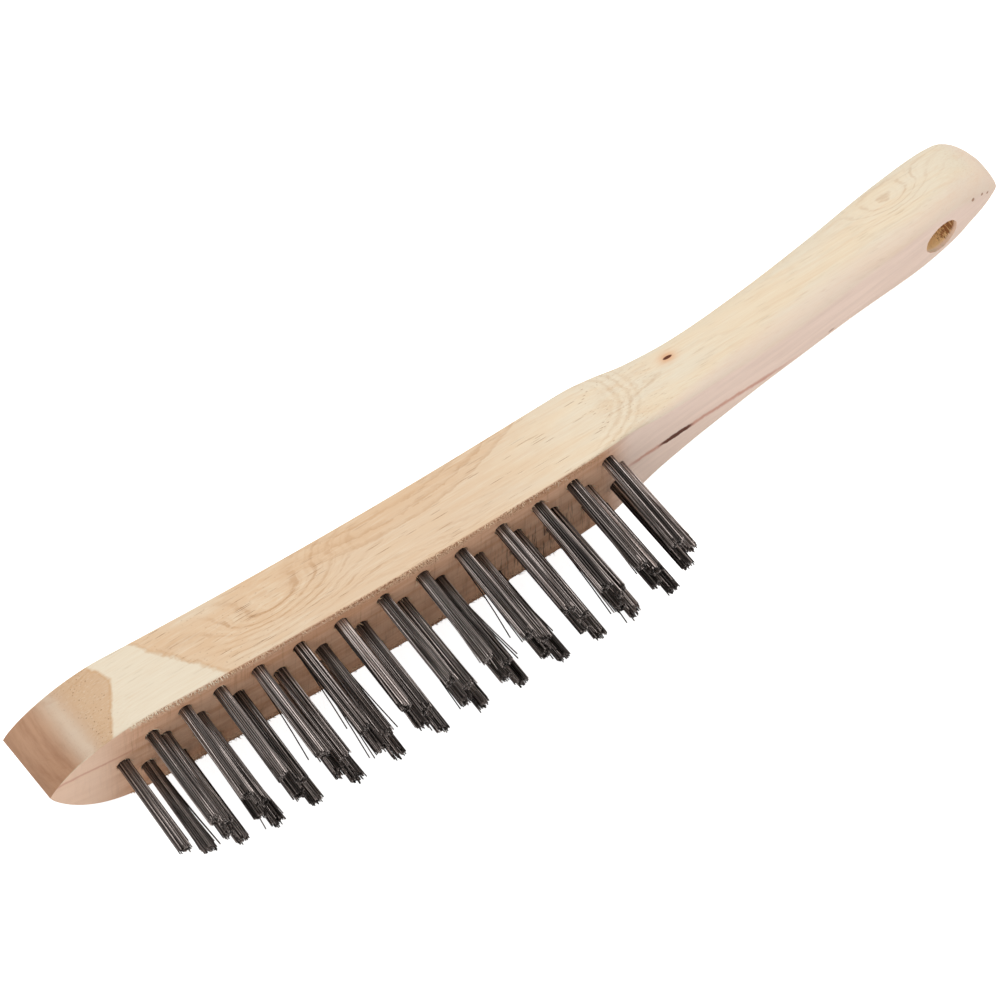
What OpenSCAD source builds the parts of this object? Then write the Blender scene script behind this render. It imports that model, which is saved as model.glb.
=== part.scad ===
// Scratch wire brush: one wooden block and handle, four rows of steel wire tufts,
// and a flat steel anchor that holds each tuft in its drilled hole.
// Frame: +X from the toe to the handle's end, the wires point to -Y, +Z is up,
// and the brush lies on its side on Z = 0. Millimetres.

/* [Block] */
// Overall length, from the nose to the handle's end
brush_len = 290; // [286:1:298]
// Width across the block
block_w = 32.8; // [31:0.2:36]
// Thickness of the block, from the wire face to the top
block_t = 20.2; // [19:0.2:23]
// Radius of the gentle curve along the wire face
rocker_r = 1600; // [1200:50:2400]
// Distance from the nose to the lowest point of the curve
rocker_x = 122; // [110:1:130]
// Length of the pointed bow at the toe
bow_len = 28; // [24:0.5:32]
// Width of the blunt tip of the nose
nose_w = 1.6; // [1:0.2:3]
// Extra upward turn of the toe at the nose
toe_lift = 0.9; // [0:0.1:1.5]
// Broken edge along the block
block_edge = 0.5; // [0.3:0.1:1.5]

/* [Handle] */
// Width of the handle at the grip
grip_w = 23.6; // [22:0.2:26]
// Diameter of the hanging hole
hang_d = 10; // [8:0.5:11]
// Distance from the handle's end to the hanging hole
hang_in = 19.5; // [18:0.5:22]

/* [Wire tufts] */
// Number of tuft positions along the block
columns = 14; // [14]
// Distance between neighbouring rows
row_gap = 6.8; // [6.4:0.1:7]
// Distance from the nose to the first tuft
first_tuft = 20.2; // [19:0.1:21]
// Diameter of a tuft where it leaves the wood
tuft_d = 3.2; // [3:0.1:3.3]
// Diameter of a tuft at its tips
tuft_tip_d = 3.8; // [3.2:0.1:4]
// Free length of the wires
trim = 29; // [25:0.5:32]
// Diameter of a tuft hole
hole_d = 3.6; // [3.5:0.1:3.8]
// Depth of a tuft hole
hole_depth = 13; // [11:0.5:14]

/* [Anchors] */
// Width of an anchor across its hole
anchor_w = 4.6; // [4.2:0.1:4.8]
// Height of an anchor along its hole
anchor_h = 2; // [1.5:0.1:2.5]
// Thickness of an anchor
anchor_t = 0.5; // [0.4:0.05:0.6]

/* [Hidden] */
ROWS = ["a", "b", "c", "d"];
// First and last tuft position of each row
ROW_SPANS = [[1, columns], [2, columns], [2, columns], [1, columns - 1]];
// Each row's lead on row A, in pitches; row B drifts along the block
ROW_LEADS = [0, 0, 0.42, 0.85];
B_LEADS = [0, 0.39, 0.4, 0.48, 0.53, 0.54, 0.48, 0.48, 0.44, 0.42, 0.39, 0.4, 0.38, 0.33];
// The last hole of row C is pulled back from the neck
LAST_C_LEAD = 0.23;
// Distances between the holes of row A, which open from the toe to the middle
PITCHES = [8, 9.5, 10, 11, 12, 12, 12.5, 11.5, 11.5, 12, 11, 10.5, 11, 11];
// Distance over which the rows close in on the centre line at the toe
row_close = 18;
// Height of the wires' fold above the floor of its hole, where the anchor sits
fold_up = 1.2;
// Play around an anchor in its slots
slot_play = 0.05;

// Profile of the neck and handle, by distance from the nose:
// [distance, underside, top, half width, round-over below, round-over above]
HANDLE = [
    [150, rocker(150), rocker(150) + block_t, block_w / 2, block_edge, block_edge],
    [163, 0.9, 20.8, block_w / 2, 1, 1.2],
    [171, 2, 21, block_w / 2 - 1.1, 1.4, 2.2],
    [181, 2.9, 21.1, grip_w / 2 + 1.2, 2.4, 3.4],
    [196, 4.2, 21.6, grip_w / 2 + 0.1, 4, 5],
    [218, 5.8, 23.5, grip_w / 2 - 0.2, 7, 5.6],
    [240, 8, 26.2, grip_w / 2, 7.6, 5.8],
    [262, 10.3, 29.3, grip_w / 2 + 0.4, 6.4, 5.8],
    [276, 12, 30.7, grip_w / 2 + 0.2, 5.6, 5.8],
    [brush_len, 13.8, 31.2, grip_w / 2, 4.6, 5.8]
];
// Length and squareness of the handle's rounded end, seen from above
end_len = 15.8;
end_power = 2.2;
// Drop of the top at the handle's end, and the length and squareness of that curve
end_drop = 10.5;
drop_len = 9.5;
drop_power = 1.95;
// Rise of the underside towards the handle's end, and how much rounder it becomes there
end_rise = 2;
end_round = 12;
rise_len = 30;
rise_power = 2;

// Height of the wire face above its lowest point
function rocker(x) = (x - rocker_x) * (x - rocker_x) / (2 * rocker_r)
    + toe_lift * pow(max(0, (first_tuft - x) / first_tuft), 2);
// Lean of the wire face, in degrees
function lean(x) = atan((x - rocker_x) / rocker_r);

// Half width of the pointed bow: an arc that meets the block's side smoothly
bow_w = block_w - nose_w;
bow_r = (bow_len * bow_len + bow_w * bow_w / 4) / bow_w;
function bow(x) = bow_w / 2 - bow_r + sqrt(bow_r * bow_r - pow(max(0, bow_len - x), 2));
// Half width that the blunt nose adds to it
function blunt(x) = nose_w / 2 * sqrt(1 - pow(max(0, 1 - x / nose_w), 2));

// Smooth curve through column c of the handle's profile, with no overshoot
function segment(x, i = 0) = i >= len(HANDLE) - 2 || x < HANDLE[i + 1][0] ? i : segment(x, i + 1);
function rate(i, c) = (HANDLE[i + 1][c] - HANDLE[i][c]) / (HANDLE[i + 1][0] - HANDLE[i][0]);
function slope(i, c) = i == 0 ? rate(0, c)
    : i == len(HANDLE) - 1 ? rate(i - 1, c)
    : rate(i - 1, c) * rate(i, c) <= 0 ? 0
    : 2 * rate(i - 1, c) * rate(i, c) / (rate(i - 1, c) + rate(i, c));
function profile(x, c) =
    let (i = segment(x), a = HANDLE[i], b = HANDLE[i + 1], w = b[0] - a[0], u = (x - a[0]) / w)
    a[c] * (1 + 2 * u) * pow(1 - u, 2) + b[c] * u * u * (3 - 2 * u)
    + w * u * (1 - u) * (slope(i, c) * (1 - u) - slope(i + 1, c) * u);

// Share of the full size that is left at distance x, on the handle's rounded end
function end_share(x, length, power) =
    pow(max(0, 1 - pow(max(0, x - brush_len + length) / length, power)), 1 / power);

// Underside, top and half width at distance x
function low(x) = x < HANDLE[0][0] ? rocker(x)
    : profile(x, 1) + end_rise * (1 - end_share(x, rise_len, rise_power));
function high(x) = x < HANDLE[0][0] ? rocker(x) + block_t
    : profile(x, 2) - end_drop * (1 - end_share(x, drop_len, drop_power));
function half_w(x) = x < HANDLE[0][0] ? max(nose_w / 8, bow(x) + blunt(x))
    : max(nose_w / 2, profile(x, 3) * end_share(x, end_len, end_power));
// Round-over below (column 4) or above (column 5), never more than the section holds
function extra_round(x, c) = c == 4 ? end_round * (1 - end_share(x, rise_len, rise_power)) : 0;
function edge(x, c) = min(x < HANDLE[0][0] ? block_edge : profile(x, c) + extra_round(x, c),
    half_w(x) * 0.95, (high(x) - low(x)) * 0.48);

// Stations: close together on the bow, the neck and the rounded end
bow_steps = 9;
STATIONS = concat(
    [for (i = [0 : bow_steps]) bow_len * pow(i / bow_steps, 1.6)],
    [for (x = [40 : 15.5 : 149]) x],
    [for (x = [HANDLE[0][0] : 4 : 206]) x],
    [for (x = [212 : 7 : brush_len - end_len - 2]) x],
    [for (i = [0 : 12]) brush_len - end_len * pow(1 - i / 12, 1.9)]
);
corner_steps = 5;
RING = 4 * (corner_steps + 1);

// One section: a rectangle with rounded corners, in Y and Z
function section(x) =
    [for (q = [0 : 3], k = [0 : corner_steps])
        let (a = 90 * (q + k / corner_steps), above = q == 0 || q == 3, near = q < 2)
        let (r = edge(x, above ? 5 : 4), w = half_w(x) - r)
        [x, (above ? high(x) - r : low(x) + r) + r * cos(a), (near ? w : -w) + r * sin(a)]];

// Tuft places
function station(t) = t <= 1 ? first_tuft : station(t - 1) + PITCHES[t - 2];
function lead(row, t) = row == 1 ? B_LEADS[t - 1]
    : row == 2 && t == columns ? LAST_C_LEAD : ROW_LEADS[row];
function tuft_x(row, t) = station(t) + lead(row, t) * PITCHES[t - 1];
function close_in(x) = sqrt(min(1, max(0, (x - first_tuft) / row_close)));
function tuft_z(row, t) = (1.5 - row) * row_gap * close_in(tuft_x(row, t));
function tuft_name(row, t) = str("tuft_", ROWS[row], t < 10 ? "0" : "", t);
TUFTS = [for (row = [0 : 3], t = [ROW_SPANS[row][0] : ROW_SPANS[row][1]]) [row, t]];

// The frame's origin is under the middle of the whole brush
lowest = min([for (p = TUFTS) let (x = tuft_x(p[0], p[1])) rocker(x) - trim * cos(lean(x))]);
highest = max([for (x = STATIONS) high(x)]);
frame_shift = [-brush_len / 2, -(lowest + highest) / 2, block_w / 2];

$fn = 48;

// Puts a child, drawn with its wires along +Z from the wire face, in its hole
module in_hole(row, t) {
    x = tuft_x(row, t);
    translate([x, rocker(x), tuft_z(row, t)])
        rotate([0, 0, lean(x)])
            rotate([90, 0, 0])
                children();
}

// A flat anchor, across the grain, at the fold of the wires
module anchor_plate(play) {
    translate([-anchor_t / 2 - play, -anchor_w / 2 - play, fold_up - hole_depth - play])
        cube([anchor_t + 2 * play, anchor_w + 2 * play, anchor_h + 2 * play]);
}

// The whole wooden body, lofted through the sections, before drilling
module block_solid() {
    last = len(STATIONS) - 1;
    nose = [for (k = [RING - 1 : -1 : 0]) k];
    heel = [for (k = [0 : RING - 1]) last * RING + k];
    walls = [for (i = [0 : last - 1], k = [0 : RING - 1])
        let (a = i * RING + k, b = i * RING + (k + 1) % RING)
        each [[a, b, a + RING], [b, b + RING, a + RING]]];
    polyhedron([for (x = STATIONS) each section(x)], concat([nose], walls, [heel]));
}

module handle_block() {
    color("burlywood")
        translate(frame_shift)
            difference() {
                block_solid();
                for (p = TUFTS)
                    in_hole(p[0], p[1]) {
                        translate([0, 0, -hole_depth])
                            cylinder(h = hole_depth + 2, d = hole_d);
                    }
                for (p = TUFTS)
                    in_hole(p[0], p[1])
                        anchor_plate(slot_play);
                translate([brush_len - hang_in, 40, 0])
                    rotate([90, 0, 0])
                        cylinder(h = 60, d = hang_d);
            }
}

module tuft(row, t) {
    color("dimgray")
        translate(frame_shift)
            in_hole(row, t)
                difference() {
                    union() {
                        translate([0, 0, -hole_depth])
                            cylinder(h = hole_depth, d = tuft_d);
                        cylinder(h = trim, d1 = tuft_d, d2 = tuft_tip_d);
                    }
                    anchor_plate(slot_play);
                }
}

module anchors(row) {
    color("silver")
        translate(frame_shift)
            for (t = [ROW_SPANS[row][0] : ROW_SPANS[row][1]])
                in_hole(row, t)
                    anchor_plate(0);
}

handle_block();
for (p = TUFTS) tuft(p[0], p[1]);
for (r = [0 : 3]) anchors(r);
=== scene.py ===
"""Looks of the scratch wire brush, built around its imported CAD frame.

The wooden body and the wire tufts are modelled here in full detail and stand for their plain CAD
solids. The anchors inside the wood stay as CAD made them. Lengths are in millimetres in the shape
functions, and in metres once they reach a mesh.
"""
import math
import random

import bmesh
import bpy
import numpy as np
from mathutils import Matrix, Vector


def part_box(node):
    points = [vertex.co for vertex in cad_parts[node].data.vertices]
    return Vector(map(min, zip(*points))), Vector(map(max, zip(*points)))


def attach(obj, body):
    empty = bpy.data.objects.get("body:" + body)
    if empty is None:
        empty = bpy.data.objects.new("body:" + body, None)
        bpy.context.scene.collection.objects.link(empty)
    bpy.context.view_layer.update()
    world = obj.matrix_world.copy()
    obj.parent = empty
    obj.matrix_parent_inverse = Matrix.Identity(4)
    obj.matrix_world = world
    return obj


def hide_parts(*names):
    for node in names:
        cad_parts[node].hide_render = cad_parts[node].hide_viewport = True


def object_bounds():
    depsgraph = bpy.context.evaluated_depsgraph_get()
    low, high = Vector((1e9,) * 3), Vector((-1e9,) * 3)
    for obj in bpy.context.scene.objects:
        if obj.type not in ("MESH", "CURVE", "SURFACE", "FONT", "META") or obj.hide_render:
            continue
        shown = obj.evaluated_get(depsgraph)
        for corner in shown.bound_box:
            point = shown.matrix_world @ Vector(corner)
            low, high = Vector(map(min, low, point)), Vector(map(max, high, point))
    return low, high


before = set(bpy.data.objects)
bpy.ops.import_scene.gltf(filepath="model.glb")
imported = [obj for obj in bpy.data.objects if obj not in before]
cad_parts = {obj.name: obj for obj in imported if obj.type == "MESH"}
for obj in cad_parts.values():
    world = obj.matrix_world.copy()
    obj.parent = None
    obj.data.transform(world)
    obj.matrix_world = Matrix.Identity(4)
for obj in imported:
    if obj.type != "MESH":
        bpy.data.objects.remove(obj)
cad_box = [list(corner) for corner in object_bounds()]

MM = 0.001
SEED = 7

# ---------------------------------------------------------------- sizes in mm, as in the CAD part
BLOCK_W, BLOCK_T = 32.8, 20.2
ROCKER_R, ROCKER_X = 1600.0, 122.0
BOW_LEN, NOSE_W, TOE_LIFT, FIRST_TUFT = 28.0, 1.6, 0.9, 20.2
BLOCK_EDGE, GRIP_W = 0.5, 23.6
END_LEN, END_POWER = 15.8, 2.2
END_DROP, DROP_LEN, DROP_POWER = 10.5, 9.5, 1.95
END_RISE, END_ROUND, RISE_LEN, RISE_POWER = 2.0, 12.0, 30.0, 2.0
HANG_IN, HANG_D = 19.5, 10.0
HOLE_D, HOLE_DEPTH = 3.6, 13.0
FOLD_UP, ANCHOR_H = 1.2, 2.0

low_corner, high_corner = (Vector(c) / MM for c in cad_box)
wood_low, wood_high = (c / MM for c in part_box("handle_block"))
BRUSH_LEN = wood_high.x - wood_low.x
NOSE_X = wood_low.x
MID_Z = (wood_low.z + wood_high.z) / 2


def rocker(x):
    """Height of the wire face above its lowest point, at distance x from the nose."""
    return (x - ROCKER_X) ** 2 / (2 * ROCKER_R) + TOE_LIFT * max(0, 1 - x / FIRST_TUFT) ** 2


# Neck and handle: distance from the nose, underside, top, half width, round-over below, above
HANDLE = [
    (150, rocker(150), rocker(150) + BLOCK_T, BLOCK_W / 2, BLOCK_EDGE, BLOCK_EDGE),
    (163, 0.9, 20.8, BLOCK_W / 2, 1, 1.2),
    (171, 2, 21, BLOCK_W / 2 - 1.1, 1.4, 2.2),
    (181, 2.9, 21.1, GRIP_W / 2 + 1.2, 2.4, 3.4),
    (196, 4.2, 21.6, GRIP_W / 2 + 0.1, 4, 5),
    (218, 5.8, 23.5, GRIP_W / 2 - 0.2, 7, 5.6),
    (240, 8, 26.2, GRIP_W / 2, 7.6, 5.8),
    (262, 10.3, 29.3, GRIP_W / 2 + 0.4, 6.4, 5.8),
    (276, 12, 30.7, GRIP_W / 2 + 0.2, 5.6, 5.8),
    (BRUSH_LEN, 13.8, 31.2, GRIP_W / 2, 4.6, 5.8),
]


def rate(i, c):
    return (HANDLE[i + 1][c] - HANDLE[i][c]) / (HANDLE[i + 1][0] - HANDLE[i][0])


def slope(i, c):
    """Slope of the handle's profile at station i, with no overshoot between stations."""
    if i == 0:
        return rate(0, c)
    if i == len(HANDLE) - 1:
        return rate(i - 1, c)
    before, after = rate(i - 1, c), rate(i, c)
    return 0 if before * after <= 0 else 2 * before * after / (before + after)


def profile(x, c):
    i = max(k for k in range(len(HANDLE) - 1) if x >= HANDLE[k][0])
    a, b = HANDLE[i], HANDLE[i + 1]
    w = b[0] - a[0]
    u = (x - a[0]) / w
    return (
        a[c] * (1 + 2 * u) * (1 - u) ** 2
        + b[c] * u * u * (3 - 2 * u)
        + w * u * (1 - u) * (slope(i, c) * (1 - u) - slope(i + 1, c) * u)
    )


def end_share(x, length, power):
    """Share of the full size that is left at distance x, on the handle's rounded end."""
    return max(0, 1 - (max(0, x - BRUSH_LEN + length) / length) ** power) ** (1 / power)


def low(x):
    if x < HANDLE[0][0]:
        return rocker(x)
    return profile(x, 1) + END_RISE * (1 - end_share(x, RISE_LEN, RISE_POWER))


def high(x):
    if x < HANDLE[0][0]:
        return rocker(x) + BLOCK_T
    return profile(x, 2) - END_DROP * (1 - end_share(x, DROP_LEN, DROP_POWER))


BOW_W = BLOCK_W - NOSE_W
BOW_R = (BOW_LEN**2 + BOW_W**2 / 4) / BOW_W


def half_w(x):
    if x < HANDLE[0][0]:
        bow = BOW_W / 2 - BOW_R + math.sqrt(BOW_R**2 - max(0, BOW_LEN - x) ** 2)
        blunt = NOSE_W / 2 * math.sqrt(1 - max(0, 1 - x / NOSE_W) ** 2)
        return max(NOSE_W / 8, bow + blunt)
    return max(NOSE_W / 2, profile(x, 3) * end_share(x, END_LEN, END_POWER))


def edge(x, c):
    """Round-over below (column 4) or above (column 5)."""
    r = BLOCK_EDGE if x < HANDLE[0][0] else profile(x, c)
    if c == 4 and x > HANDLE[0][0]:
        r += END_ROUND * (1 - end_share(x, RISE_LEN, RISE_POWER))
    return min(r, half_w(x) * 0.95, (high(x) - low(x)) * 0.48)


# The wire face's lowest point sits at this height in the frame
FACE_Y = wood_high.y - max(high(x * 0.5) for x in range(int(BRUSH_LEN * 2)))


# ---------------------------------------------------------------- mesh helpers
def new_object(name, verts, faces, material=None, smooth=True):
    mesh = bpy.data.meshes.new(name)
    mesh.from_pydata([tuple(v) for v in verts], [], faces)
    mesh.update()
    obj = bpy.data.objects.new(name, mesh)
    bpy.context.scene.collection.objects.link(obj)
    if material:
        mesh.materials.append(material)
    if smooth:
        mesh.polygons.foreach_set("use_smooth", [True] * len(mesh.polygons))
    return obj


def skin(base, ring_count, sides, faces):
    """Adds the wall and both ends of a tube whose rings of vertices start at base."""
    for i in range(ring_count - 1):
        for k in range(sides):
            a, b = base + i * sides + k, base + i * sides + (k + 1) % sides
            faces.append((a, b, b + sides, a + sides))
    faces.append(tuple(base + k for k in reversed(range(sides))))
    last = base + (ring_count - 1) * sides
    faces.append(tuple(last + k for k in range(sides)))


def tube(rings, sides, verts, faces):
    """Adds a closed tube through rings of (centre, radius, two axes) to verts and faces."""
    base = len(verts)
    for centre, radius, u, v in rings:
        for k in range(sides):
            a = 2 * math.pi * k / sides
            verts.append(centre + u * (radius * math.cos(a)) + v * (radius * math.sin(a)))
    skin(base, len(rings), sides, faces)


def join(into, other):
    """Adds other's mesh to into, and removes other."""
    bm = bmesh.new()
    bm.from_mesh(into.data)
    bm.from_mesh(other.data)
    bm.to_mesh(into.data)
    bm.free()
    bpy.data.objects.remove(other)


def apply_modifiers(obj):
    graph = bpy.context.evaluated_depsgraph_get()
    mesh = bpy.data.meshes.new_from_object(obj.evaluated_get(graph))
    obj.modifiers.clear()
    obj.data = mesh


# ---------------------------------------------------------------- wooden body
# Divisions of each rounded corner and each flat of a section, and of the body's ends along it
CORNER_STEPS, FLAT_STEPS = 8, 6
BOW_STEPS, END_STEPS, MIDDLE_PITCH = 44, 44, 1.2
# Edges sharper than this many degrees stay crisp
BODY_CREASE = 38
# Sides and raggedness of the holes
WIRE_HOLE_SIDES, WIRE_HOLE_ROUGH = 24, 0.07
HANG_SIDES, HANG_ROUGH, HANG_RINGS = 56, 0.1, 22
# Torn fibres along each lower edge: from, to (distance from the nose), how many
FUZZ_RUNS = ((22, 62, 230), (62, 100, 80), (100, 130, 130), (130, 150, 40))
# Sides of a torn fibre, and how deep its root starts in the wood
SLIVER_SIDES, SLIVER_ROOT = 4, 0.02
# A torn fibre's rings: share of its length, share of its thickness
SLIVER_RINGS = ((-0.25, 1), (0.1, 1), (0.5, 0.75), (0.8, 0.45), (1, 0.12))


def section(x):
    """One section of the body as (y, z) points, with its flats divided."""
    corners = []
    for q, (near, above) in enumerate(((1, 1), (1, 0), (0, 0), (0, 1))):
        r = edge(x, 5 if above else 4)
        cy = high(x) - r if above else low(x) + r
        cz = (half_w(x) - r) * (1 if near else -1)
        for k in range(CORNER_STEPS + 1):
            a = math.radians(90 * (q + k / CORNER_STEPS))
            corners.append((cy + r * math.cos(a), cz + r * math.sin(a)))
    ring = []
    for i, p in enumerate(corners):
        ring.append(p)
        if i % (CORNER_STEPS + 1) == CORNER_STEPS:
            n = corners[(i + 1) % len(corners)]
            for k in range(1, FLAT_STEPS):
                t = k / FLAT_STEPS
                ring.append((p[0] + (n[0] - p[0]) * t, p[1] + (n[1] - p[1]) * t))
    return ring


def body_stations():
    """Distances of the body's sections from the nose, closer together at both ends."""
    bow = [BOW_LEN * (i / BOW_STEPS) ** 2 for i in range(BOW_STEPS)]
    middle = list(np.arange(BOW_LEN, BRUSH_LEN - END_LEN, MIDDLE_PITCH))
    end = [BRUSH_LEN - END_LEN * (1 - i / END_STEPS) ** 1.8 for i in range(END_STEPS + 1)]
    return bow + middle + end


def body_mesh():
    """The body without its holes, as rings of vertices joined from the nose to the end."""
    verts, faces = [], []
    stations = body_stations()
    for x in stations:
        for y, z in section(x):
            verts.append(Vector((NOSE_X + x, min(FACE_Y + y, wood_high.y), MID_Z + z)) * MM)
    ring = len(verts) // len(stations)
    for i in range(len(stations) - 1):
        for k in range(ring):
            a, b = i * ring + k, i * ring + (k + 1) % ring
            faces.append((a, a + ring, b + ring, b))
    faces.append(tuple(range(ring)))
    faces.append(tuple(reversed(range((len(stations) - 1) * ring, len(stations) * ring))))
    return verts, faces


# Vertices this close in height to a CAD tuft's end belong to that end
END_SLICE = 0.35


def tuft_line(node):
    """The two ends of a CAD tuft's axis in mm: the floor of its hole, and the middle of its tips."""
    points = np.array([v.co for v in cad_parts[node].data.vertices]) / MM
    height = points[:, 1]
    floor = points[height > height.max() - END_SLICE].mean(0)
    tip = points[height < height.min() + END_SLICE].mean(0)
    return Vector(floor), Vector(tip)


TUFTS = sorted(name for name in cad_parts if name.startswith("tuft_"))


def cutter(rings, rng, rough, sides):
    """A closed tube for cutting holes, through rings of (centre, radius, axis, raggedness) in mm."""
    verts, faces = [], []
    for centre, radius, axis, rag in rings:
        u = axis.orthogonal().normalized()
        v = axis.cross(u).normalized()
        for k in range(sides):
            a = 2 * math.pi * k / sides
            r = radius + rag * rough * rng.uniform(-1, 1)
            verts.append((centre + u * (r * math.cos(a)) + v * (r * math.sin(a))) * MM)
    skin(0, len(rings), sides, faces)
    return verts, faces


def add_to(total, part):
    """Adds part's vertices and faces to total's."""
    verts, faces = total
    base = len(verts)
    verts.extend(part[0])
    faces.extend(tuple(base + i for i in f) for f in part[1])


def all_holes(rng):
    """The wire holes and the hanging hole, each with a torn rim, as one mesh of cutters."""
    total = ([], [])
    for node in TUFTS:
        floor, tip = tuft_line(node)
        axis = (tip - floor).normalized()
        mouth = floor + axis * HOLE_DEPTH
        # straight in the wood, then wider and torn at the rim
        rings = [
            (floor - axis * 0.05, 0.5, axis, 0),
            (floor, HOLE_D / 2 - 0.05, axis, 0),
            (mouth - axis * 0.7, HOLE_D / 2, axis, 0.2),
            (mouth - axis * 0.15, HOLE_D / 2 + 0.06, axis, 1),
            (mouth + axis * 0.25, HOLE_D / 2 + 0.3, axis, 1.6),
            (mouth + axis * 1.5, HOLE_D / 2 + 0.3, axis, 0),
        ]
        add_to(total, cutter(rings, rng, WIRE_HOLE_ROUGH, WIRE_HOLE_SIDES))
    x = BRUSH_LEN - HANG_IN
    down = Vector((0, -1, 0))
    at = Vector((NOSE_X + x, 0, MID_Z))
    rings = []
    # from well above the wood to well below it, with close rings in the wood
    depths = [40.0] + list(np.linspace(high(x) + 0.6, low(x) - 0.6, HANG_RINGS)) + [-20.0]
    for y in depths:
        to_rim = min(abs(y - high(x)), abs(y - low(x)))
        flare = 0.35 * max(0, 1 - to_rim / 0.8)
        at.y = FACE_Y + y
        rings.append((at.copy(), HANG_D / 2 - 0.02 + flare, down, 1))
    add_to(total, cutter(rings, rng, HANG_ROUGH, HANG_SIDES))
    return total


def make_body(material):
    """The wooden body with its holes cut and its torn fibres joined on."""
    body = new_object("wood_body", *body_mesh(), material)
    holes = new_object("hole_cutter", *all_holes(random.Random(SEED)), smooth=False)
    for obj in (body, holes):
        bm = bmesh.new()
        bm.from_mesh(obj.data)
        bmesh.ops.recalc_face_normals(bm, faces=bm.faces)
        bm.to_mesh(obj.data)
        bm.free()
    cut = body.modifiers.new("holes", "BOOLEAN")
    cut.operation = "DIFFERENCE"
    cut.solver = "MANIFOLD"
    cut.object = holes
    apply_modifiers(body)
    bpy.data.objects.remove(holes)
    join(body, new_object("slivers", *sliver_mesh(random.Random(SEED + 1))))
    body.data.polygons.foreach_set("use_smooth", [True] * len(body.data.polygons))
    body.data.set_sharp_from_angle(angle=math.radians(BODY_CREASE))
    return body


def sliver(root, way, length, thick, rng, verts, faces):
    """A torn fibre: a thin curved spike in mm, with its root inside the wood."""
    side = way.orthogonal().normalized()
    other = way.cross(side)
    curl = side * rng.gauss(0, 0.3) + other * rng.gauss(0, 0.3)
    rings = []
    for t, share in SLIVER_RINGS:
        centre = root + way * (length * t) + curl * (length * max(0, t) ** 2)
        rings.append((centre * MM, thick * share * MM, side, other))
    tube(rings, SLIVER_SIDES, verts, faces)


def sliver_mesh(rng):
    """Fuzz that the saw left along both lower edges, and splinters round the wire holes."""
    verts, faces = [], []
    for lo_s, hi_s, count in FUZZ_RUNS:
        for side in (1, -1):
            for _ in range(count):
                s = rng.uniform(lo_s, hi_s)
                inset = abs(rng.gauss(0, 0.6)) + BLOCK_EDGE * 0.4
                z = side * (half_w(s) - inset)
                root = Vector((NOSE_X + s, FACE_Y + low(s) + SLIVER_ROOT, MID_Z + z))
                way = Vector((rng.gauss(0, 0.6), -1, -side * abs(rng.gauss(0, 0.5)))).normalized()
                sliver(root, way, rng.uniform(0.3, 0.95), rng.uniform(0.06, 0.13), rng, verts, faces)
    for node in TUFTS:
        floor, tip = tuft_line(node)
        out = (tip - floor).normalized()
        mouth = floor + out * HOLE_DEPTH
        for _ in range(rng.choice((2, 4, 6, 9))):
            a = rng.uniform(0, 2 * math.pi)
            ray = Vector((math.cos(a), 0, math.sin(a)))
            root = mouth + ray * (HOLE_D / 2 + 0.32)
            root.y = FACE_Y + low(root.x - NOSE_X) + SLIVER_ROOT
            way = (out + ray * rng.uniform(0, 1.2) + Vector((rng.gauss(0, 0.5), 0, 0))).normalized()
            sliver(root, way, rng.uniform(0.4, 1.2), rng.uniform(0.07, 0.15), rng, verts, faces)
    for v in verts:
        v.z = min(max(v.z, low_corner.z * MM), high_corner.z * MM)
    return verts, faces


# ---------------------------------------------------------------- wire tufts
WIRE_D = 0.36
WIRE_SIDES, WIRE_CREASE = 6, 60
# Radius of each ring of wires in a tuft, and the hairpins in it
WIRE_RINGS = [(1.56, 10), (1.18, 8), (0.8, 6), (0.42, 3)]
# Shares of tufts with many stray wires, of strays in them and in the others, and of short wires
SPLAYED_SHARE, STRAYS_SPLAYED, STRAYS, SHORT_SHARE = 0.3, 0.16, 0.035, 0.05
# Mean shortfall and spread of the wires' cut ends, and their least distance from the box
CUT_BACK, CUT_SPREAD, TIP_GAP = 0.5, 0.42, 0.06
# Points along a leg, as shares of its length outside the hole
LEG_SHARES = (1.0, 0.985, 0.7, 0.4, 0.05)
# Points of the fold under the anchor: share of the wire's offset, and share of the fold's drop
FOLD_POINTS = ((0.7, 0.72), (0, 1.0), (-0.7, 0.72))


def wire_rings(points, radius):
    """Rings for a tube through points, with axes carried along the line."""
    rings = []
    u = None
    for i, p in enumerate(points):
        d = (points[min(i + 1, len(points) - 1)] - points[max(i - 1, 0)]).normalized()
        u = d.orthogonal().normalized() if u is None else (u - d * u.dot(d)).normalized()
        rings.append((p, radius, u, d.cross(u)))
    return rings


def wire_places(rng):
    """Places of one leg of each hairpin across the hole, in rings; the other leg mirrors it."""
    places = []
    for radius, count in WIRE_RINGS:
        for k in range(count):
            a = math.radians(180 * (k + 0.5) / count - 90) + rng.gauss(0, 0.045)
            r = radius + rng.gauss(0, 0.035)
            places.append((r * math.cos(a), r * math.sin(a)))
    return places


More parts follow.
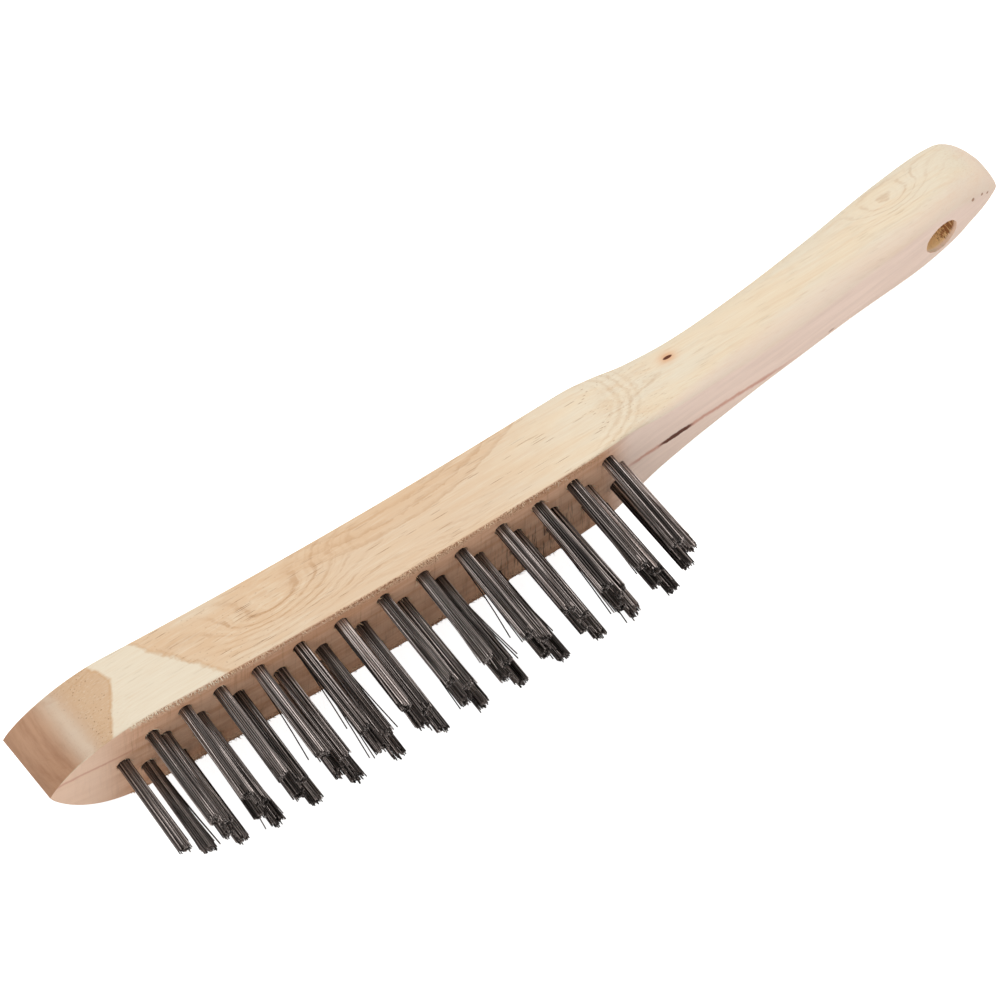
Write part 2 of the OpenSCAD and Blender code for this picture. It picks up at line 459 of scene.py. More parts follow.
def tuft_wires(node, rng, material):
    """One tuft: hairpin wires folded under the anchor, both legs standing out of the hole."""
    floor, tip = tuft_line(node)
    out = (tip - floor).normalized()
    length = (tip - floor).length - HOLE_DEPTH
    mouth = floor + out * HOLE_DEPTH
    across = Vector((0, 0, 1))
    along = across.cross(out).normalized()
    fold = HOLE_DEPTH - FOLD_UP
    flare = rng.uniform(1.05, 1.14)
    slant = Vector((rng.gauss(0, 0.16), rng.gauss(0, 0.16)))
    sway = Vector((rng.gauss(0, 0.12), rng.gauss(0, 0.12)))
    splayed = rng.random() < SPLAYED_SHARE
    verts, faces, tones = [], [], []
    for x, y in wire_places(rng):
        legs = []
        tone = rng.random()
        for side in (1, -1):
            lean = sway + Vector((rng.gauss(0, 0.05), rng.gauss(0, 0.05)))
            edge_on = math.hypot(x, y) > WIRE_RINGS[1][0]
            if edge_on and rng.random() < (STRAYS_SPLAYED if splayed else STRAYS):
                lean += Vector((side * x, y)).normalized() * rng.uniform(0.5, 2.2)
            spread = flare + rng.gauss(0, 0.012)
            cut = length - CUT_BACK + slant.x * side * x + slant.y * y + rng.gauss(0, CUT_SPREAD)
            if rng.random() < SHORT_SHARE:
                cut -= rng.uniform(1.0, 3.0)
            # room left below the mouth, so that no tip leaves the CAD model's box
            room = mouth.y + along.y * (side * x * spread + lean.x) - low_corner.y - TIP_GAP
            cut = min(cut, room / -out.y - abs(rng.gauss(0, 0.05)))
            leg = []
            for t in LEG_SHARES:
                s = 1 + (spread - 1) * t**1.4
                bow_out = t**1.6
                px = side * x * s + lean.x * bow_out
                py = y * s + lean.y * bow_out
                leg.append(mouth + along * px + across * py + out * (cut * t))
            for depth in (fold - ANCHOR_H, fold + 0.1):
                leg.append(mouth + along * (side * x) + across * y - out * depth)
            legs.append(leg)
        drop = 0.25 + x * 0.45
        bottom = [mouth + along * (x * c) + across * y - out * (fold + 0.1 + drop * s)
                  for c, s in FOLD_POINTS]
        path = [p * MM for p in legs[0] + bottom + legs[1][::-1]]
        tube(wire_rings(path, WIRE_D / 2 * MM), WIRE_SIDES, verts, faces)
        tones.extend([tone] * (len(path) * WIRE_SIDES))
    obj = new_object(node + "_wires", verts, faces, material)
    obj.data.set_sharp_from_angle(angle=math.radians(WIRE_CREASE))
    attribute = obj.data.attributes.new("tone", "FLOAT", "POINT")
    attribute.data.foreach_set("value", tones)
    return obj


# ---------------------------------------------------------------- materials
class Nodes:
    """Short forms for building a node tree."""

    def __init__(self, name):
        self.material = bpy.data.materials.new(name)
        self.material.use_nodes = True
        self.tree = self.material.node_tree
        self.shader = self.tree.nodes["Principled BSDF"]

    def link(self, out, socket):
        self.tree.links.new(out, socket)

    def node(self, kind, inputs=None, **settings):
        made = self.tree.nodes.new(kind)
        for key, value in settings.items():
            setattr(made, key, value)
        for key, value in (inputs or {}).items():
            if isinstance(value, bpy.types.NodeSocket):
                self.link(value, made.inputs[key])
            else:
                made.inputs[key].default_value = value
        return made

    def math(self, operation, a, b=0.0):
        return self.node("ShaderNodeMath", {0: a, 1: b}, operation=operation).outputs[0]

    def add(self, a, b):
        return self.math("ADD", a, b)

    def minus(self, a, b):
        return self.math("SUBTRACT", a, b)

    def times(self, first, *others):
        for other in others:
            first = self.math("MULTIPLY", first, other)
        return first

    def larger(self, a, b):
        return self.math("MAXIMUM", a, b)

    def size(self, value):
        """The value without its sign."""
        return self.math("ABSOLUTE", value)

    def ramp(self, value, low, high, to_low=0.0, to_high=1.0, smooth=True):
        kind = "SMOOTHSTEP" if smooth else "LINEAR"
        inputs = {"Value": value, "From Min": low, "From Max": high, "To Min": to_low, "To Max": to_high}
        return self.node("ShaderNodeMapRange", inputs, interpolation_type=kind).outputs["Result"]

    def mix(self, factor, a, b):
        """Mixes two colours; the node has sockets of the same name for each type of data."""
        made = self.node("ShaderNodeMix", data_type="RGBA")
        for key, kind, value in (("Factor", "VALUE", factor), ("A", "RGBA", a), ("B", "RGBA", b)):
            socket = next(s for s in made.inputs if s.name == key and s.type == kind)
            if isinstance(value, bpy.types.NodeSocket):
                self.link(value, socket)
            else:
                socket.default_value = value
        return next(s for s in made.outputs if s.type == "RGBA")

    def noise(self, vector, scale, detail=2.0, roughness=0.5):
        inputs = {"Vector": vector, "Scale": scale, "Detail": detail, "Roughness": roughness}
        return self.node("ShaderNodeTexNoise", inputs).outputs["Fac"]

    def stretched(self, vector, x, y, z, at=(0, 0, 0)):
        inputs = {"Vector": vector, "Scale": (x, y, z), "Location": at}
        return self.node("ShaderNodeMapping", inputs).outputs[0]

    def vector_math(self, operation, a, b, out="Vector"):
        return self.node("ShaderNodeVectorMath", {0: a, 1: b}, operation=operation).outputs[out]

    def in_mm(self, vector):
        made = self.node("ShaderNodeVectorMath", {0: vector, 3: 1 / MM}, operation="SCALE")
        return made.outputs[0]

    def xyz(self, vector):
        return self.node("ShaderNodeSeparateXYZ", {0: vector}).outputs


def srgb(r, g, b):
    """A linear colour with alpha from 0 to 255 display values."""
    def one(c):
        c /= 255
        return c / 12.92 if c <= 0.04045 else ((c + 0.055) / 1.055) ** 2.4
    return (one(r), one(g), one(b), 1)


# Figure of the wood: strength, distance from the nose, height, half length, half height
SWIRLS = [
    (4.0, 72, 11.5, 20, 7.5),
    (2.6, 262, 21.7, 10, 4.5),
    (1.6, 12, 15, 9, 12),
    (-1.2, 110, 19, 26, 5),
]
# Rings and fine lines for each step of the figure's field
RING_RATE, FINE_RING_RATE = 1.25, 3.1
# Two whorls: distance from the nose, height, half length, half height
WHORLS = [(69, 11, 17, 9), (262, 21.7, 10, 6)]
# Distance from the nose and height of single marks
NECK_AT, TOE_BAND_AT, TORN_AT = (150, 13.5), (11.4, 11), (142, 0)
KNOT_AT, STREAK_AT = (191, 15.8), (184.8, 3.6)
NICK_S, NICK_Z = 234.5, -4.7
# Specks: place, radius
SPECKS = [((281.4, 13.4, 4.4), 0.7), ((284.5, 14.0, 3.3), 0.5), ((286.4, 14.4, 1.9), 0.6)]

CREAM = srgb(238, 219, 190)
PALE = srgb(235, 221, 197)
TAN = srgb(224, 188, 150)
HEART = srgb(210, 172, 134)
LINE = srgb(188, 142, 98)
PORE = srgb(158, 112, 74)
TOE = srgb(194, 148, 116)
TOE_DARK = srgb(160, 110, 78)
# sawn wire face: its own colour, warmed as painted warm bounce light from between the tufts
SAWN_WITH_BOUNCE = srgb(234, 188, 156)
SAWN_DARK = srgb(168, 116, 82)
PINK = srgb(248, 222, 206)
RED_LINE = srgb(198, 126, 102)
BARK = srgb(96, 48, 26)
# the hanging hole's wall as lit and shaded colours: the pale one lightened as painted light, the dark
# one its torn fibres and painted shade
HOLE = srgb(255, 220, 166)
HOLE_FIBRE_AND_SHADE = srgb(140, 80, 42)
BLOCK_TAN = srgb(225, 190, 154)
PATCH_RIM = srgb(206, 164, 120)
PALE_RING = srgb(244, 228, 200)
PALE_ARC = srgb(246, 234, 212)
PALE_FIBRE = srgb(246, 236, 214)
DOT = srgb(140, 96, 62)
GREY_BAND = srgb(226, 206, 184)
# the sawn wire face's second colour, warmed in the same way as painted warm bounce light
SAWN_MID_WITH_BOUNCE = srgb(214, 160, 124)
SAWN_TOE = srgb(248, 216, 192)
TORN = srgb(88, 60, 42)
PINK_LOW = srgb(238, 212, 196)
EDGE_BAND = srgb(178, 118, 88)
FUZZ_DARK = srgb(136, 86, 58)
FUZZ_PALE = srgb(246, 214, 176)
KNOT_HALO = srgb(226, 158, 104)
SPECK = srgb(150, 98, 60)
NICK = srgb(140, 92, 62)
BORE_RIM = srgb(254, 226, 206)
WIRE_DARK = srgb(58, 53, 50)
WIRE_BRIGHT = srgb(198, 185, 179)
WIRE_BROWN = srgb(104, 88, 78)
STEEL_DARK = srgb(150, 150, 152)
STEEL = srgb(188, 188, 190)


class Wood(Nodes):
    """The wood's material: s, y and z are mm from the nose, the wire face and mid-plane."""

    def __init__(self):
        super().__init__("pale_hardwood")
        coord = self.node("ShaderNodeTexCoord").outputs
        origin = (NOSE_X * MM, FACE_Y * MM, MID_Z * MM)
        self.p = self.in_mm(self.vector_math("SUBTRACT", coord["Object"], origin))
        self.s, self.y, self.z = self.xyz(self.p)
        self.nx, self.ny, self.nz = self.xyz(coord["Normal"])
        self.jitter = self.minus(self.noise(self.p, 0.35, 5, 0.65), 0.5)

    def rough(self, value, amount):
        """value with a ragged offset, so that boundaries aren't ruled lines."""
        return self.add(value, self.times(self.jitter, amount))

    def bump_at(self, s0, y0, a, b):
        """A soft hill in the plane of the side face: 1 at its middle."""
        u = self.math("DIVIDE", self.minus(self.s, s0), a)
        v = self.math("DIVIDE", self.minus(self.y, y0), b)
        d2 = self.add(self.times(u, u), self.times(v, v))
        return self.math("EXPONENT", self.times(d2, -1.0))

    def plane(self, ks, ky, kz, offset):
        """ks*s + ky*y + kz*z - offset"""
        total = self.times(self.s, ks)
        total = self.add(total, self.times(self.y, ky))
        total = self.add(total, self.times(self.z, kz))
        return self.minus(total, offset)

    def paint(self, colour, *masks):
        """Lays a colour over what is there, where all masks are up."""
        self.colour = self.mix(self.times(*masks), self.colour, colour)

    def pores(self, length, pitch, reach, seed):
        """Short dashes along the grain: 1 on a pore, 0 between."""
        at = self.stretched(self.p, 1 / length, 1 / pitch, 1 / pitch, (seed, seed * 1.7, seed * 2.3))
        cell = self.node("ShaderNodeTexVoronoi", {"Vector": at, "Scale": 1.0}, feature="F1")
        near = self.ramp(cell.outputs["Distance"], reach, reach * 0.55)
        pick = self.xyz(cell.outputs["Color"])[0]
        return self.times(near, self.ramp(pick, 0.3, 0.75))


def growth_lines(n):
    """Growth rings: level lines of one field, which climbs slowly across the piece."""
    p, s = n.p, n.s
    field = n.plane(0.004, 0.27, 0.2, 0)
    n.drift = n.noise(n.stretched(p, 0.014, 0.05, 0.05), 1.0, 3, 0.5)
    field = n.add(field, n.times(n.drift, 5.0))
    for strength, *place in SWIRLS:
        field = n.add(field, n.times(n.bump_at(*place), strength))
    field = n.add(field, n.times(n.noise(n.stretched(p, 0.1, 0.5, 0.5), 1.0, 3), 0.35))
    field = n.add(field, n.times(n.jitter, 0.4))
    n.wave = n.math("SINE", n.times(field, 2 * math.pi * RING_RATE))
    n.broken = n.noise(n.stretched(p, 0.25, 0.9, 0.9, (5, 2, 8)), 1.0, 3, 0.6)
    n.rings = n.times(n.ramp(n.wave, 0.55, 1.0), n.ramp(n.broken, 0.3, 0.62))
    fine = n.math("SINE", n.times(field, 2 * math.pi * FINE_RING_RATE))
    n.fine_rings = n.ramp(fine, 0.35, 1.0)
    n.ring_strength = n.ramp(n.noise(n.stretched(p, 0.03, 0.12, 0.12, (7, 3, 1)), 1.0, 2), 0.4, 0.66)
    n.ring_strength = n.times(n.ring_strength, n.ramp(s, 185, 215, 1.0, 0.45))


def ground(n):
    """The pale ground, tanner through the block."""
    p, s, y, z = n.p, n.s, n.y, n.z
    n.slant_z = n.minus(z, BLOCK_W / 2)
    n.blotch = n.noise(n.stretched(p, 0.03, 0.16, 0.16, (3, 5, 2)), 1.0, 4, 0.6)
    n.colour = n.mix(n.ramp(n.blotch, 0.38, 0.62), PALE, CREAM)
    stripes = n.noise(n.stretched(p, 0.016, 0.42, 0.42, (9, 1, 4)), 1.0, 4, 0.6)
    block = n.ramp(n.rough(s, 22), 168, 118)
    upper = n.ramp(n.rough(y, 6), 8, 17)
    middle = n.times(block, n.ramp(s, 58, 84))
    n.paint(BLOCK_TAN, middle, 0.62)
    band = n.times(middle, upper, n.ramp(stripes, 0.4, 0.6))
    n.paint(TAN, band, 0.55)
    n.paint(TAN, n.ramp(stripes, 0.5, 0.72), 0.3)


def sweeping_ring(n):
    """One ring that sweeps along the block: tan lines above it, cream wood below."""
    s, y = n.s, n.y
    off = n.minus(s, n.add(108.0, n.times(n.slant_z, 1.6)))
    n.above = n.minus(y, n.add(12.2, n.times(n.times(off, off), 0.0052)))
    n.above = n.add(n.rough(n.above, 1.6), n.times(n.drift, 1.5))
    zone = n.times(n.ramp(s, 72, 92), n.ramp(n.rough(s, 20), 168, 140))
    n.paint(TAN, n.ramp(n.above, -0.2, 0.9), zone, 0.4)
    sweep = n.math("FRACT", n.add(n.times(n.above, 0.36), n.times(n.jitter, 0.5)))
    sweep = n.times(n.ramp(sweep, 0.55, 0.0), n.ramp(n.above, -0.1, 0.2), n.ramp(n.above, 11, 4), zone)
    n.paint(LINE, sweep, n.ramp(n.broken, 0.3, 0.6, 0.3, 1.0), 0.4)


def heartwood(n):
    """Tan heartwood on both sides of a pale patch near the toe."""
    s = n.s
    slanted = n.times(n.slant_z, 0.28)
    left = n.larger(n.plane(1, -0.7054, 0, 13.95), n.plane(1, 0.5, 0, 34.05))
    left = n.rough(n.add(left, slanted), 2.2)
    right = n.rough(n.minus(n.plane(1, 0.75, 0, 51.8), slanted), 5.0)
    n.heart_left = n.times(n.ramp(left, 0.5, -0.2), n.ramp(n.rough(s, 3), 11, 13.5))
    n.heart_right = n.times(n.ramp(right, -0.5, 0.5), n.ramp(n.rough(s, 14), 92, 66))
    n.patch = n.times(n.ramp(left, -0.3, 0.7), n.ramp(right, 0.5, -0.5))
    n.paint(TAN, n.heart_right, n.ramp(n.blotch, 0.25, 0.6, 0.35, 0.85))
    n.paint(HEART, n.heart_left, 0.85)
    n.paint(PALE, n.patch, 0.9)
    rim_left = n.ramp(n.size(left), 0.9, 0.1)
    rim_right = n.ramp(n.size(right), 1.2, 0.1)
    n.paint(PATCH_RIM, n.larger(rim_left, rim_right), 0.5)


def rings_and_fibres(n):
    """The growth rings, two whorls, the arcs round the neck, and fine fibres."""
    p, s, y = n.p, n.s, n.y
    n.quiet = n.minus(1.0, n.times(n.patch, 0.85))
    n.paint(LINE, n.rings, n.ring_strength, n.quiet, 0.3)
    n.paint(LINE, n.fine_rings, n.ring_strength, n.quiet, 0.14)
    n.near = n.ramp(n.nz, 0.3, 0.5)
    swirl = n.larger(*(n.bump_at(*whorl) for whorl in WHORLS))
    whorl = n.times(n.ramp(n.wave, 0.5, 1.0), n.ramp(n.broken, 0.34, 0.54, 0.2, 1.0), swirl)
    n.paint(LINE, whorl, n.ramp(s, 120, 220, 0.56, 0.3))
    pale_ring = n.times(n.ramp(n.wave, -0.3, -1.0), n.ramp(n.broken, 0.6, 0.4), swirl)
    n.paint(PALE_RING, pale_ring, n.ramp(s, 120, 220, 0.36, 0.2))
    ds, dy = n.minus(s, NECK_AT[0]), n.times(n.minus(y, NECK_AT[1]), 1.9)
    round_neck = n.math("SQRT", n.add(n.times(ds, ds), n.times(dy, dy)))
    arc_wave = n.math("SINE", n.add(n.times(round_neck, 2.2), n.times(n.jitter, 8)))
    arcs = n.times(n.ramp(round_neck, 19, 24), n.ramp(round_neck, 31, 28), n.ramp(s, 156, 165), n.near)
    n.paint(LINE, arcs, n.ramp(arc_wave, 0.0, 1), 0.17)
    n.paint(PALE_ARC, arcs, n.ramp(arc_wave, -0.2, -1), 0.2)
    n.fibre = n.noise(n.stretched(p, 0.1, 3.4, 3.4), 1.0, 3, 0.6)
    n.paint(TAN, n.ramp(n.fibre, 0.5, 0.78, 0, 0.3))
    n.paint(PALE_FIBRE, n.ramp(n.fibre, 0.5, 0.25, 0, 0.3))


def pores_and_dots(n):
    """Pores, crowded in the heartwood and the block."""
    p, s = n.p, n.s
    crowd = n.noise(n.stretched(p, 0.04, 0.2, 0.2, (1, 8, 6)), 1.0, 2)
    n.dashes = n.larger(n.pores(17.0, 0.42, 0.19, 1.0), n.pores(11.0, 0.36, 0.19, 5.0))
    below_sweep = n.ramp(n.above, 1.5, -0.5, 0.5, 1)
    dense = n.times(n.ramp(crowd, 0.32, 0.55, 0.3, 1), n.ramp(s, 190, 160, 0.25, 1), below_sweep)
    n.paint(PORE, n.dashes, dense, n.quiet, 0.85)
    dots = n.times(n.pores(1.3, 0.75, 0.22, 9.0), n.larger(n.heart_left, n.times(n.heart_right, 0.35)))
    n.paint(DOT, dots, 0.8)


def toe_end(n):
    """The toe, sawn across the grain: browner as it turns, with arcs down it."""
    s, y, z = n.s, n.y, n.z
    turned = n.ramp(n.size(n.nx), 0.3, 0.68)
    toe = n.larger(n.times(turned, n.ramp(s, 26, 12)), n.ramp(s, 4, 1.5))
    bent = n.minus(y, 14)
    bent = n.add(s, n.times(n.times(bent, bent), -0.006))
    at = n.node("ShaderNodeCombineXYZ", {0: bent, 1: n.times(y, 0.13), 2: n.times(z, 0.05)})
    toe_lines = n.noise(at.outputs[0], 0.55, 4, 0.65)
    toe_low = n.times(n.ramp(n.rough(y, 6), 21, 7), 0.35)
    toe_colour = n.mix(n.add(n.ramp(toe_lines, 0.34, 0.7, 0.0, 0.65), toe_low), TOE, TOE_DARK)
    grey_band = n.times(n.bump_at(*TOE_BAND_AT, 2.8, 16), n.ramp(n.nz, 0.2, 0.6))
    n.paint(toe_colour, toe, 0.92)
    n.paint(GREY_BAND, grey_band, 0.6)
    end = n.times(turned, n.ramp(s, 268, 284))
    n.paint(PINK, end, 0.4)


def wire_face(n):
    """The wire face and the handle's underside, both flat on -Y; the sawn face's colour holds painted
    warm bounce light, and the handle's rounded lower edge a painted lighter pink.
    """
    p, s, z = n.p, n.s, n.z
    n.under = n.ramp(n.ny, -0.9, -0.985)
    grain_y = n.noise(n.stretched(p, 0.03, 0.3, 0.45, (4, 4, 4)), 1.0, 4, 0.6)
    n.marks = n.noise(n.stretched(p, 1.1, 0.2, 0.09, (6, 6, 6)), 1.0, 3, 0.6)
    # the sawn face: its own colour, warmed as painted warm bounce light from between the tufts
    sawn = n.mix(n.ramp(grain_y, 0.35, 0.68), SAWN_WITH_BOUNCE, SAWN_MID_WITH_BOUNCE)
    sawn = n.mix(n.ramp(n.marks, 0.5, 0.75, 0, 0.4), sawn, SAWN_DARK)
    sawn = n.mix(n.ramp(s, 26, 12, 0, 0.7), sawn, SAWN_TOE)
    torn = n.times(n.bump_at(*TORN_AT, 13, 30), n.ramp(z, 6, -3), n.ramp(n.marks, 0.5, 0.62))
    sawn = n.mix(n.times(torn, 0.85), sawn, TORN)
    pink = n.mix(n.ramp(grain_y, 0.35, 0.7), PINK, PINK_LOW)
    flat = n.mix(n.ramp(n.rough(s, 4), 160, 172), sawn, pink)
    # painted light: a lighter pink on the handle's rounded lower edge, chosen by its normal, to lift the
    # shade there
    n.paint(PINK, n.ramp(n.ny, -0.1, -0.85), n.ramp(s, 166, 190), 0.5)
    n.paint(flat, n.under, 0.95)

    # both lower edges: a browner band with dark and pale fuzz
    to_edge = n.ramp(n.rough(n.size(z), 5), 12.6, 15.0)
    n.edge_near = n.times(to_edge, n.ramp(n.ny, -0.3, -0.9), n.ramp(s, 20, 28))
    n.fuzz = n.noise(p, 2.1, 4, 0.75)
    rim = n.times(n.ramp(n.size(z), 14.6, 15.6), n.ramp(n.ny, -0.35, -0.8))
    n.paint(EDGE_BAND, rim, n.ramp(s, 26, 34), n.ramp(s, 156, 148), 0.45)
    patchy = n.ramp(n.noise(n.stretched(p, 0.05, 0.01, 0.01, (3, 9, 9)), 1.0, 1), 0.36, 0.56, 0.25, 1)
    rough_edge = n.times(n.edge_near, n.ramp(s, 166, 150), patchy)
    n.paint(FUZZ_DARK, rough_edge, n.ramp(n.fuzz, 0.5, 0.58), 0.85)
    n.paint(FUZZ_PALE, rough_edge, n.ramp(n.fuzz, 0.5, 0.42), 0.75)

    toe_line = n.size(n.minus(n.rough(z, 1.2), n.ramp(s, 1, 9, 3.3, 4.4, smooth=False)))
    n.paint(RED_LINE, n.ramp(toe_line, 0.75, 0.05), n.ramp(s, 26, 20), n.under, 0.5)


def small_marks(n):
    """Streak and red line along the underside, knot on the near side, specks and nick."""
    p, s, z = n.p, n.s, n.z
    across = n.minus(n.add(n.rough(z, 1.8), n.times(s, 0.094)), 15.9)
    along = n.times(n.ramp(s, 166, 174), n.ramp(s, 228, 210))
    downward = n.ramp(n.ny, -0.5, -0.8)
    n.paint(RED_LINE, n.ramp(n.size(across), 1.3, 0.05), along, downward, 0.7)
    dark = n.times(n.ramp(n.size(across), 1.8, 0.1), n.bump_at(*STREAK_AT, 5.6, 20), downward)
    n.paint(BARK, n.ramp(dark, 0.28, 0.6))
    n.paint(KNOT_HALO, n.bump_at(*KNOT_AT, 2.3, 1.4), n.near, 0.75)
    knot = n.ramp(n.bump_at(*KNOT_AT, 1.5, 0.48), 0.35, 0.6)
    n.paint(BARK, knot, n.near)
    for spot, size in SPECKS:
        away = n.vector_math("DISTANCE", p, spot, "Value")
        n.paint(SPECK, n.ramp(n.rough(away, 0.5), size, size * 0.4, 0, 0.8))
    nick = n.vector_math("SUBTRACT", p, (NICK_S, low(NICK_S), NICK_Z))
    nick = n.vector_math("DISTANCE", n.stretched(nick, 0.8, 1.0, 2.2), (0, 0, 0), "Value")
    n.paint(NICK, n.ramp(nick, 1.1, 0.4, 0, 0.75))


def hanging_hole(n):
    """Inside the hanging hole: a pale rim, then torn fibres over painted light and shade, the wall
    darkening deeper in and towards the handle's end.
    """
    p, s, y, z = n.p, n.s, n.y, n.z
    ds = n.minus(s, BRUSH_LEN - HANG_IN)
    bore_r = n.math("SQRT", n.add(n.times(ds, ds), n.times(z, z)))
    n.inside = n.ramp(bore_r, HANG_D / 2 + 0.25, HANG_D / 2 + 0.1)
    hang_x, r = BRUSH_LEN - HANG_IN, HANG_D / 2
    rim_slope = (low(hang_x + r) - low(hang_x - r)) / HANG_D
    from_rim = n.minus(n.minus(y, low(hang_x)), n.times(ds, rim_slope))
    # painted light and shade: the bore stays pale near its rim, and turns to its darker colours deeper
    # in
    n.paint(BORE_RIM, n.inside)
    n.inside = n.times(n.inside, n.ramp(n.rough(from_rim, 0.8), 0.5, 1.5))
    n.torn_fibre = n.noise(n.stretched(p, 2.4, 0.6, 2.4, (8, 1, 3)), 1.0, 4, 0.75)
    # painted shade: the wall darkens towards the handle's end, under its torn fibres
    depth = n.ramp(ds, -3, 4.5)
    fibres_and_bore_shade = n.ramp(n.add(n.torn_fibre, n.times(depth, 0.26)), 0.62, 0.78, 0, 0.85)
    n.paint(n.mix(fibres_and_bore_shade, HOLE, HOLE_FIBRE_AND_SHADE), n.inside)


def surface(n):
    """Base colour, roughness and relief."""
    s = n.s
    n.link(n.colour, n.shader.inputs["Base Color"])
    n.link(n.ramp(n.fibre, 0.3, 0.7, 0.56, 0.7), n.shader.inputs["Roughness"])
    n.shader.inputs["Specular IOR Level"].default_value = 0.28
    relief = n.times(n.fibre, 0.35)
    relief = n.minus(relief, n.times(n.dashes, 0.5))
    relief = n.add(relief, n.times(n.marks, n.under, n.ramp(s, 170, 160), 1.4))
    relief = n.add(relief, n.times(n.fuzz, n.edge_near, 1.6))
    relief = n.add(relief, n.times(n.torn_fibre, n.inside, 3.0))
    made = n.node("ShaderNodeBump", {"Height": relief, "Strength": 0.7, "Distance": 0.1 * MM})
    n.link(made.outputs["Normal"], n.shader.inputs["Normal"])


def wood_material():
    n = Wood()
    parts = [growth_lines, ground, sweeping_ring, heartwood, rings_and_fibres,
             pores_and_dots, toe_end, wire_face, small_marks,
             hanging_hole, surface]
    for draw in parts:
        draw(n)
    return n.material


def wire_material():
    n = Nodes("dark_steel_wire")
    spot = n.node("ShaderNodeTexCoord").outputs["Object"]
    p = n.in_mm(spot)
    tone = n.node("ShaderNodeAttribute", attribute_name="tone").outputs["Fac"]
    base = n.mix(n.math("POWER", tone, 1.55), WIRE_DARK, WIRE_BRIGHT)
    patch = n.noise(n.stretched(p, 2.0, 0.12, 2.0), 1.0, 3)
    base = n.mix(n.ramp(patch, 0.5, 0.75, 0, 0.5), base, WIRE_BROWN)
    n.link(base, n.shader.inputs["Base Color"])
    n.link(n.ramp(patch, 0.3, 0.7, 0.26, 0.38), n.shader.inputs["Roughness"])
    n.shader.inputs["Metallic"].default_value = 0.85
    return n.material


def anchor_material():
    n = Nodes("anchor_steel")
    spot = n.node("ShaderNodeTexCoord").outputs["Object"]
    p = n.in_mm(spot)
    grain = n.noise(n.stretched(p, 4, 4, 0.5), 1.0, 4)
    n.link(n.mix(grain, STEEL_DARK, STEEL), n.shader.inputs["Base Color"])
    n.link(n.ramp(grain, 0.3, 0.7, 0.3, 0.45), n.shader.inputs["Roughness"])
    n.shader.inputs["Metallic"].default_value = 1.0
    return n.material


# ---------------------------------------------------------------- camera, light and floor
VIEW_AZIMUTH, VIEW_ELEVATION = -35.2, 58.5
SCALE_PX_PER_MM = 4.095
CAMERA_DISTANCE = 9.0
IMAGE_PX = 1000
AIM = Vector((-6.7, 11.06, 16.4)) * MM
WHITE = (1, 1, 1, 1)
WORLD_LIGHT = 0.6
# Azimuth, elevation, distance, size and power
KEY_LIGHT = (155, 74, 1.3, 0.8, 6.6)
FILL_LIGHT = (-30, 22, 1.5, 1.0, 2.95)
FILL_COLOUR = (1, 0.965, 0.92)
FLOOR_GLOW = 0.86
# Half the floor's side, and its depth below the object, in metres
FLOOR_HALF, FLOOR_DROP = 6.0, 0.0001


def direction(azimuth, elevation):
    """Unit vector towards a place round the object; azimuth 0 looks from -Y."""
    a, e = math.radians(azimuth), math.radians(elevation)
    return Vector((math.sin(a) * math.cos(e), -math.cos(a) * math.cos(e), math.sin(e)))


def make_camera():
    """A long lens from the photographed side, at the scale that fills the frame as there."""
    data = bpy.data.cameras.new("camera")
    cam = bpy.data.objects.new("camera", data)
    bpy.context.scene.collection.objects.link(cam)
    back = direction(VIEW_AZIMUTH, VIEW_ELEVATION)
    cam.location = AIM + back * CAMERA_DISTANCE
    cam.rotation_mode = "QUATERNION"
    cam.rotation_quaternion = (-back).to_track_quat("-Z", "Y")
    frame_width = IMAGE_PX / SCALE_PX_PER_MM * MM
    data.lens = data.sensor_width * CAMERA_DISTANCE / frame_width
    data.clip_start, data.clip_end = 0.05, 50
    bpy.context.scene.camera = cam


def area_light(name, azimuth, elevation, distance, size, power, colour=(1, 1, 1)):
    data = bpy.data.lights.new(name, "AREA")
    data.shape = "DISK"
    data.size = size
    data.energy = power
    data.color = colour
    lamp = bpy.data.objects.new(name, data)
    bpy.context.scene.collection.objects.link(lamp)
    back = direction(azimuth, elevation)
    lamp.location = back * distance
    lamp.rotation_mode = "QUATERNION"
    lamp.rotation_quaternion = (-back).to_track_quat("-Z", "Y")


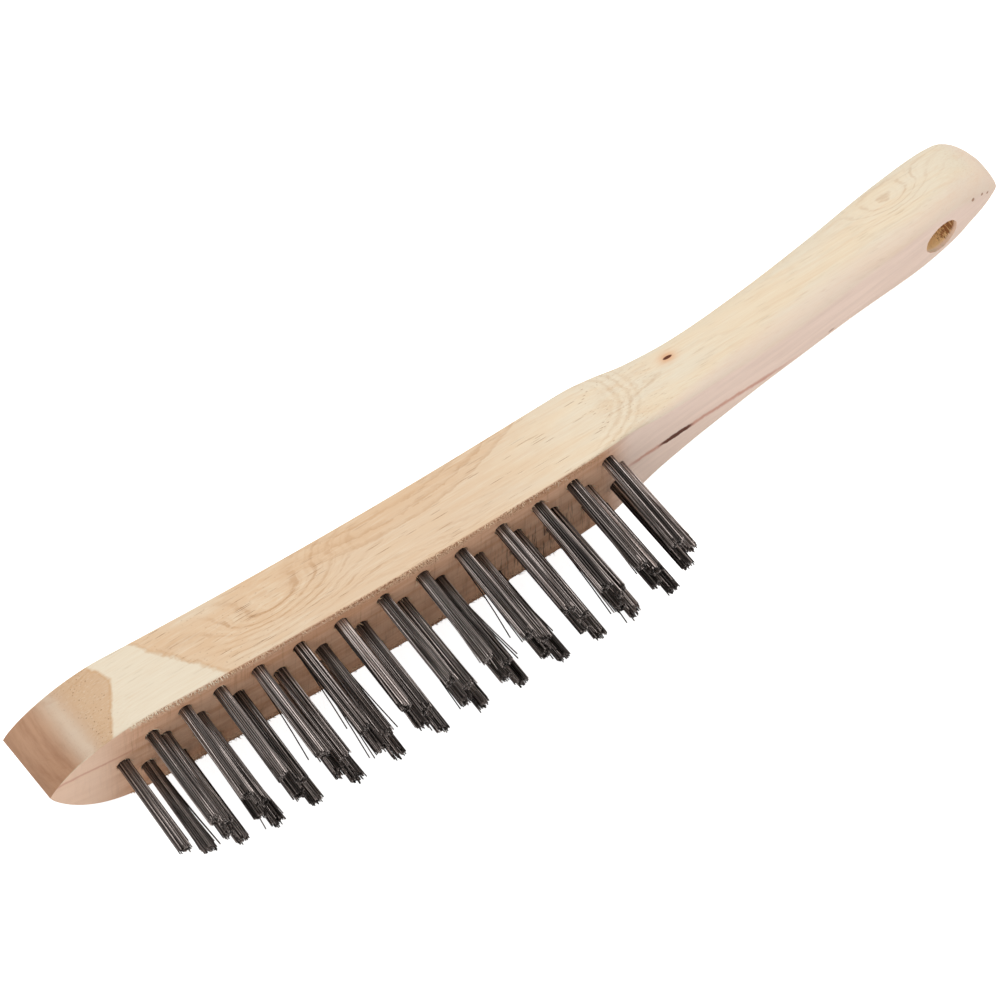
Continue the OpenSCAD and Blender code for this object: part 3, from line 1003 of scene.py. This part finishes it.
def camera_sees(tree, seen, lights, output):
    """Shows the camera one shader, and lights the object with another."""
    mix = tree.nodes.new("ShaderNodeMixShader")
    path = tree.nodes.new("ShaderNodeLightPath")
    tree.links.new(path.outputs["Is Camera Ray"], mix.inputs[0])
    tree.links.new(lights, mix.inputs[1])
    tree.links.new(seen, mix.inputs[2])
    tree.links.new(mix.outputs[0], output.inputs["Surface"])


def make_world():
    world = bpy.data.worlds.new("studio")
    bpy.context.scene.world = world
    world.use_nodes = True
    nodes = world.node_tree.nodes
    lights, seen = nodes["Background"], nodes.new("ShaderNodeBackground")
    for made, strength in ((lights, WORLD_LIGHT), (seen, 1.0)):
        made.inputs["Color"].default_value = WHITE
        made.inputs["Strength"].default_value = strength
    camera_sees(world.node_tree, seen.outputs[0], lights.outputs[0], nodes["World Output"])


def make_floor():
    """A pale floor; the camera sees part of its real shade, so the object stands on something."""
    n = Nodes("floor")
    spot = n.node("ShaderNodeTexCoord").outputs["Object"]
    shade = n.noise(spot, 40.0, 3)
    n.link(n.mix(shade, (0.9, 0.9, 0.9, 1), (0.93, 0.93, 0.93, 1)), n.shader.inputs["Base Color"])
    n.shader.inputs["Roughness"].default_value = 0.9
    n.shader.inputs["Specular IOR Level"].default_value = 0.1
    lights = n.shader.outputs[0]
    glow = n.node("ShaderNodeEmission", {"Color": WHITE, "Strength": FLOOR_GLOW})
    seen = n.node("ShaderNodeAddShader", {0: lights, 1: glow.outputs[0]})
    camera_sees(n.tree, seen.outputs[0], lights, n.tree.nodes["Material Output"])
    side = FLOOR_HALF
    corners = [(-side, -side, 0), (side, -side, 0), (side, side, 0), (-side, side, 0)]
    floor = new_object("floor", [Vector(c) for c in corners], [(0, 1, 2, 3)], n.material)
    floor.location.z = -FLOOR_DROP


# ---------------------------------------------------------------- making it
bpy.context.scene.view_settings.view_transform = "Standard"
make_camera()
make_world()
area_light("key", *KEY_LIGHT)
area_light("fill", *FILL_LIGHT, colour=FILL_COLOUR)
make_floor()

body = make_body(wood_material())
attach(body, "root")
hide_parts("handle_block")

wire = wire_material()
rng = random.Random(SEED)
for node in TUFTS:
    wires = tuft_wires(node, rng, wire)
    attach(wires, "root")
    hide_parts(node)

steel = anchor_material()
for name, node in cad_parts.items():
    if name.startswith("anchors_row_"):
        node.data.materials.clear()
        node.data.materials.append(steel)
